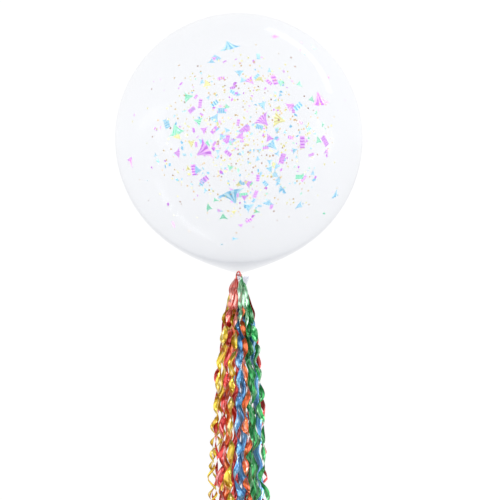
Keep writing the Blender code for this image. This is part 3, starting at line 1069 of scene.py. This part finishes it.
# The size of one of the photograph's pixels at the balloon.
PIXEL = 0.00364
VIEW_UP = -NECK_WAY
VIEW_BACK = NECK_FRONT
BIT_THICKNESS = 0.00025
CLING_GAP = 0.0004
LEAST_SHARE = 0.01
FAN_ROWS = 5
FAN_ROOT = 0.14
FAN_MIDDLE = 0.55
FAN_RELIEF = 0.07
FAN_SCALE = 0.92
STRIP_PINCH = 0.06
STRIP_RELIEF = 0.10
SCRAP_RELIEF = 0.10
DOT_SIDES = 12
DOT_RINGS = 3
DOT_DISH = 0.0001

bits = {name: ([], [], []) for name in CONFETTI_TONES}
confetti_dice = random.Random(36)


def on_wall(direction, lift):
    """The point on the skin's inside in that direction from the balloon's middle, a lift above it."""
    way = direction.normalized()
    angle = math.acos(max(-1, min(1, way.dot(NECK_WAY))))
    radius, along = hollow_outline(angle)
    out = way - NECK_WAY * way.dot(NECK_WAY)
    out = out.normalized() if out.length > 1e-9 else RIGHT
    point = CENTRE + NECK_WAY * along + out * radius
    inward = (CENTRE - point).normalized()
    point += inward * (lift + CLING_GAP)
    point.z = max(point.z, SKIN_THICKNESS + CLING_GAP + lift)
    return point


def add_bit(tone, across_px, up_px, far, turn, outline, relief, bands):
    """Lays one bit on the wall. Its outline is rows of (a, b) in metres, relief(a, b) is its height, and
    bands has the fold that each of its points is on, as a number that is whole at a ridge; it paints shade."""
    x, y = across_px * PIXEL, up_px * PIXEL
    reach = BALLOON_RADIUS - SKIN_THICKNESS
    depth = math.sqrt(max(reach**2 - x * x - y * y, LEAST_SHARE * reach**2))
    middle = RIGHT * x + VIEW_UP * y + VIEW_BACK * (-depth if far else depth)
    outward = middle.normalized()
    side = VIEW_UP.cross(outward).normalized()
    top = outward.cross(side).normalized()
    if far:
        side = -side
    first = side * math.cos(turn) + top * math.sin(turn)
    second = top * math.cos(turn) - side * math.sin(turn)
    points, all_faces, folds = bits[tone]
    start = len(points)
    faces = []
    rows, columns = len(outline), len(outline[0])
    for sheet in (0, 1):
        for row, row_bands in zip(outline, bands):
            for (a, b), band in zip(row, row_bands):
                lift = relief(a, b) + sheet * BIT_THICKNESS
                points.append(on_wall(middle + first * a + second * b, lift))
                folds.append(band)
    size = rows * columns
    for r in range(rows - 1):
        for c in range(columns - 1):
            a = start + r * columns + c
            quad = (a, a + 1, a + columns + 1, a + columns)
            faces.append(quad)
            faces.append(tuple(i + size for i in reversed(quad)))
    rim = [(0, c) for c in range(columns)]
    rim += [(r, columns - 1) for r in range(1, rows)]
    rim += [(rows - 1, c) for c in range(columns - 2, -1, -1)]
    rim += [(r, 0) for r in range(rows - 2, 0, -1)]
    ids = [start + r * columns + c for r, c in rim]
    for a, b in zip(ids, ids[1:] + ids[:1]):
        faces.append((b, a, a + size, b + size))
    all_faces.extend(facing_out(points, faces))


def add_fan(tone, x, y, far, turn, size, spread=70, pleats=7):
    """A pleated fan: narrow and gathered at its root, with a scalloped outer edge and hollow sides."""
    half = math.radians(spread) / 2
    outline = []
    for r in range(FAN_ROWS):
        share = r / (FAN_ROWS - 1)
        row = []
        for c in range(pleats * 2 + 1):
            side = c / pleats - 1
            open_by = half * side * (0.50 + 0.50 * share**1.6)
            reach = size * (FAN_ROOT + (1 - FAN_ROOT) * share)
            reach *= 1 + 0.17 * abs(side) ** 3 * share - 0.05 * (c % 2)
            row.append((reach * math.sin(open_by), reach * math.cos(open_by) - size * FAN_MIDDLE))
        outline.append(row)
    ridge = size * FAN_RELIEF

    def relief(a, b):
        reach = math.hypot(a, b + size * FAN_MIDDLE)
        angle = math.atan2(a, b + size * FAN_MIDDLE)
        return ridge * reach / size * pleat((angle / half + 1) * math.pi, pleats)

    bands = [[c / 2 for c in range(pleats * 2 + 1)]] * FAN_ROWS
    add_bit(tone, x, y, far, turn, outline, relief, bands)


def add_strip(tone, x, y, far, turn, long, wide, bands=5):
    """A crimped rectangle, folded to and fro across its length."""
    steps = bands * 2
    outline = []
    for r in range(steps + 1):
        b = long * (r / steps - 0.5)
        pinch = 1 - STRIP_PINCH * (r % 2)
        outline.append([(wide * pinch * (c / 2 - 0.5), b) for c in range(3)])
    ridge = wide * STRIP_RELIEF

    def relief(a, b):
        return ridge * pleat((b / long + 0.5) * 2 * math.pi, bands)

    folds = [[r / 2] * 3 for r in range(steps + 1)]
    add_bit(tone, x, y, far, turn, outline, relief, folds)


def add_scrap(tone, x, y, far, turn, size):
    """A torn scrap: a bent three- or four-sided bit."""
    dice = confetti_dice
    corner = [(dice.uniform(0.6, 1.2), dice.uniform(0.25, 1.0)) for _ in range(2)]
    (w0, w1), (h0, h1) = corner
    outline = [
        [(-size * w0 / 2, -size * h0 / 2), (0, -size * h0 / 2), (size * w1 / 2, -size * h1 / 3)],
        [(-size * w1 / 3, size * h1 / 2), (size * 0.05, size * h1 / 2), (size * w0 / 3, size * h0 / 2)],
    ]
    fold = size * SCRAP_RELIEF
    folds = [[dice.random()] * 3] * 2
    add_bit(tone, x, y, far, turn, outline, lambda a, b: fold * abs(a) / size * 2, folds)


def add_dot(tone, x, y, far, size):
    """A punched round dot, faintly dished."""
    turns = [2 * math.pi * c / DOT_SIDES for c in range(DOT_SIDES + 1)]
    outline = []
    for r in range(DOT_RINGS):
        reach = size / 2 * (1e-3 + r / (DOT_RINGS - 1))
        outline.append([(reach * math.cos(turn), reach * math.sin(turn)) for turn in turns])
    folds = [[confetti_dice.random()] * len(turns)] * DOT_RINGS
    add_bit(tone, x, y, far, 0.0, outline, lambda a, b: DOT_DISH, folds)


# The largest bits: (kind, colour, right and up from the middle in pixels of 3.64 mm, turn, length, width).
LARGE_BITS = (
    ("fan", "sky", -9, 82, 200, 15, 80), ("strip", "sky", -24, 90, 60, 9, 5),
    ("strip", "lemon", 20, 70, 90, 8, 4), ("fan", "mint", -46, 32, 100, 11, 60),
    ("strip", "sky", -19, 38, 90, 9, 6), ("fan", "sky", -26, 31, 150, 12, 70),
    ("fan", "lilac", 12, 46, 40, 10, 60), ("strip", "lilac", -42, 45, 0, 10, 4),
    ("strip", "lilac", -51, 38, 130, 8, 5), ("strip", "lilac", 34, 48, 15, 10, 5),
    ("strip", "lilac", 57, 39, 0, 9, 4), ("fan", "mint", 77, 46, 30, 9, 55),
    ("fan", "lilac", 77, 32, 190, 17, 85), ("fan", "lemon", 43, 28, 75, 16, 70),
    ("fan", "lilac", 26, 27, 40, 16, 75), ("fan", "lilac", 49, 24, 120, 9, 60),
    ("strip", "sky", 21, 21, 70, 8, 5), ("strip", "lilac", 5, 19, 130, 12, 5),
    ("strip", "sky", 56, 23, 130, 10, 5), ("fan", "mint", -68, 17, 200, 15, 80),
    ("fan", "lemon", -66, 12, 170, 11, 60), ("strip", "sky", -67, 7, 20, 7, 6),
    ("strip", "lilac", 67, 4, 0, 13, 6), ("strip", "lilac", 90, 4, 35, 12, 6),
    ("fan", "lilac", -33, -19, 300, 17, 75), ("strip", "lilac", -49, -25, 5, 12, 6),
    ("strip", "lilac", 46, -13, 165, 11, 6), ("fan", "sky", 33, -14, 45, 12, 60),
    ("fan", "sky", 37, -31, 300, 10, 60), ("strip", "mint", 64, -33, 90, 10, 5),
    ("strip", "lilac", -32, -45, 125, 9, 5), ("strip", "lilac", 17, -51, 165, 9, 4),
    ("strip", "mint", 2, -52, 95, 13, 5), ("fan", "sky", -5, -61, 20, 18, 85),
    ("fan", "sky", 11, -64, 120, 13, 60), ("fan", "sky", 31, -60, 170, 9, 100),
    ("fan", "sky", 95, -56, 200, 12, 65), ("fan", "lilac", -112, -21, 20, 13, 55),
    ("strip", "lilac", -69, -84, 155, 9, 3), ("fan", "mint", -13, -80, 60, 9, 60),
    ("strip", "mint", 88, -73, 80, 5, 2), ("fan", "sky", -4, -99, 90, 8, 50),
    ("fan", "mint", -38, 9, 250, 9, 60), ("fan", "lilac", 31, 8, 320, 10, 60),
)

for index, (kind, tone, x, y, degrees, long, wide) in enumerate(LARGE_BITS):
    far = index % 3 != 0
    turn = math.radians(degrees)
    if kind == "fan":
        add_fan(tone, x, y, far, turn, long * PIXEL * FAN_SCALE, spread=wide, pleats=3 + index % 3)
    else:
        add_strip(tone, x, y, far, turn, long * PIXEL, wide * PIXEL, bands=3 + index % 3)


# The small bits: how far from the balloon's middle the cluster and the strays reach, in pixels, and how many
# there are of each kind.
CLUSTER_REACH = 82
STRAY_REACH = 115
MOST_REACH = 112
CROWDING = 0.7
BLUR = 8
FOLDED_BITS = 110
SCRAPS = 260
DOTS = 560
SCRAP_TONES = ("lilac", "sky", "lilac", "sky", "mint", "sky", "lilac", "sky", "lemon")
DOT_TONES = ("lemon", "lemon", "peach", "peach", "taupe", "lemon", "peach")


def scatter(stray):
    """A place in the cluster, or for a stray anywhere in the balloon, in pixels from its middle."""
    dice = confetti_dice
    while True:
        reach = (STRAY_REACH if stray else CLUSTER_REACH) * dice.random() ** CROWDING
        turn = dice.uniform(0, 2 * math.pi)
        x = 4 + 1.05 * reach * math.cos(turn) + dice.gauss(0, BLUR)
        y = 0.95 * reach * math.sin(turn) + dice.gauss(0, BLUR)
        if math.hypot(x, y) < MOST_REACH:
            return x, y


for k in range(FOLDED_BITS):
    x, y = scatter(k % 5 == 0)
    turn = confetti_dice.uniform(0, 2 * math.pi)
    tone = SCRAP_TONES[k % len(SCRAP_TONES)]
    long = PIXEL * confetti_dice.uniform(4.0, 8.0)
    if k % 3:
        add_fan(tone, x, y, k % 2 == 0, turn, long, spread=confetti_dice.uniform(40, 90), pleats=4)
    else:
        add_strip(tone, x, y, k % 2 == 0, turn, long, long * confetti_dice.uniform(0.4, 0.6), bands=3)
for k in range(SCRAPS):
    x, y = scatter(k % 6 == 0)
    turn = confetti_dice.uniform(0, 2 * math.pi)
    tone = SCRAP_TONES[k % len(SCRAP_TONES)]
    add_scrap(tone, x, y, k % 3 != 0, turn, PIXEL * confetti_dice.uniform(1.6, 4.2))
for k in range(DOTS):
    x, y = scatter(k % 5 == 0)
    add_dot(DOT_TONES[k % len(DOT_TONES)], x, y, k % 3 != 0, PIXEL * confetti_dice.uniform(1.1, 2.2))


def pearly_foil(name):
    """Pastel foil with a pearly lacquer and fine grain from its embossing roller."""
    deep, bright = CONFETTI_TONES[name]
    material, nodes, links, shader = new_material(name + "_pearl_foil", bright, 0.3, 0.1)
    shader.inputs["Coat Weight"].default_value = 0.5
    shader.inputs["Coat Roughness"].default_value = 0.2
    # A painted glow: the foil gives off a little light in its own colours, though it is no lamp.
    shader.inputs["Emission Strength"].default_value = 0.15
    place = nodes.new("ShaderNodeTexCoord").outputs["Object"]
    grain = add_noise(nodes, links, place, 160.0, 4.0)
    # Painted shade: the fold attribute gives every other pleat face of the fans and strips the shaded
    # colour; scraps and dots take one colour at random.
    fold = nodes.new("ShaderNodeAttribute")
    fold.attribute_name = "fold"
    side = fold.outputs["Fac"]
    for operation in ("FRACT", "ROUND"):
        step = nodes.new("ShaderNodeMath")
        step.operation = operation
        links.new(side, step.inputs[0])
        side = step.outputs[0]
    tint = nodes.new("ShaderNodeValToRGB")
    for element, position, colour in zip(tint.color_ramp.elements, (0.45, 0.95), (deep, bright)):
        element.position = position
        element.color = (*colour, 1)
    links.new(add_scaled(nodes, links, side, 0.42, grain), tint.inputs["Fac"])
    links.new(tint.outputs["Color"], shader.inputs["Base Color"])
    links.new(tint.outputs["Color"], shader.inputs["Emission Color"])
    add_bump(nodes, links, shader, grain, 0.2, 0.0005)
    return material


for tone, (points, faces, folds) in bits.items():
    confetti = make_piece(
        "confetti_" + tone, points, faces, pearly_foil(tone), math.radians(15)
    )
    kept = confetti.data.attributes.new("fold", "FLOAT", "POINT")
    kept.data.foreach_set("value", folds)


# The studio: a plain pale floor, a broad soft light overhead, and low strip lights round the back. They draw
# the gloss on the skin and the foil.

FLOOR_REACH = 12
FLOOR_DROP = 0.0006

corners = [(x * FLOOR_REACH, y * FLOOR_REACH, 0) for x, y in ((-1, -1), (1, -1), (1, 1), (-1, 1))]
floor_mesh = bpy.data.meshes.new("floor")
floor_mesh.from_pydata(corners, [], [(0, 1, 2, 3)])
floor = bpy.data.objects.new("floor", floor_mesh)
bpy.context.scene.collection.objects.link(floor)
floor.location.z = -FLOOR_DROP
floor_material, _, _, floor_shader = new_material("floor", (0.10, 0.10, 0.10), 0.9)
floor_shader.inputs["Specular IOR Level"].default_value = 0.0
floor_shader.inputs["Emission Color"].default_value = (1, 1, 1, 1)
floor_shader.inputs["Emission Strength"].default_value = 0.93
floor_mesh.materials.append(floor_material)

# The lights at the sides and the back aim at the balloon's end by the neck.
MIDDLE = CENTRE + NECK_WAY * 0.4


def soft_light(name, place, aim, wide, high, radiance):
    """An area light with that radiance over its whole face."""
    lamp = bpy.data.lights.new(name, "AREA")
    lamp.shape = "RECTANGLE"
    lamp.size, lamp.size_y = wide, high
    lamp.energy = radiance * math.pi * wide * high
    light = bpy.data.objects.new(name, lamp)
    light.location = place
    light.rotation_euler = (Vector(aim) - Vector(place)).to_track_quat("-Z", "Y").to_euler()
    bpy.context.scene.collection.objects.link(light)


soft_light("overhead", (0, -1.4, 4.6), (0, -1.4, 0), 7.0, 7.0, 1.6)
soft_light("back_right", (2.4, 3.2, 0.75), MIDDLE, 3.6, 0.6, 14.0)
soft_light("left_strip", (-3.6, 0.6, 1.1), MIDDLE, 0.6, 2.0, 9.0)
soft_light("right_strip", (3.6, -0.2, 1.1), MIDDLE, 0.8, 2.0, 11.0)
soft_light("back_high", (-0.8, 3.6, 3.0), MIDDLE, 2.6, 0.5, 3.5)

# The backdrop is pale where the camera sees it and greyer in reflections, so that the foil keeps its darks.
world = bpy.data.worlds.new("studio")
bpy.context.scene.world = world
world.use_nodes = True
backdrop = world.node_tree.nodes["Background"]
seen = world.node_tree.nodes.new("ShaderNodeLightPath")
tone = world.node_tree.nodes.new("ShaderNodeMix")
tone.data_type = "RGBA"
tone.inputs[6].default_value = (0.24, 0.25, 0.27, 1)
tone.inputs[7].default_value = (0.93, 0.93, 0.94, 1)
world.node_tree.links.new(seen.outputs["Is Camera Ray"], tone.inputs["Factor"])
world.node_tree.links.new(tone.outputs[2], backdrop.inputs["Color"])

# The camera looks down squarely at the neck's line, with the balloon's middle up and left of the picture's.
CAMERA_DISTANCE = 6.0
SENSOR_WIDTH = 36
FRAME_WIDTH = 500 * PIXEL
AIM_RIGHT = 11.1 * PIXEL
AIM_DOWN = 110.7 * PIXEL
target = CENTRE + RIGHT * AIM_RIGHT - VIEW_UP * AIM_DOWN
lens = bpy.data.cameras.new("camera")
lens.sensor_width = SENSOR_WIDTH
lens.lens = SENSOR_WIDTH * CAMERA_DISTANCE / FRAME_WIDTH
camera = bpy.data.objects.new("camera", lens)
camera.location = target + VIEW_BACK * CAMERA_DISTANCE
camera.rotation_euler = (-VIEW_BACK).to_track_quat("-Z", "Y").to_euler()
bpy.context.scene.collection.objects.link(camera)
bpy.context.scene.camera = camera
bpy.context.scene.view_settings.view_transform = "Standard"
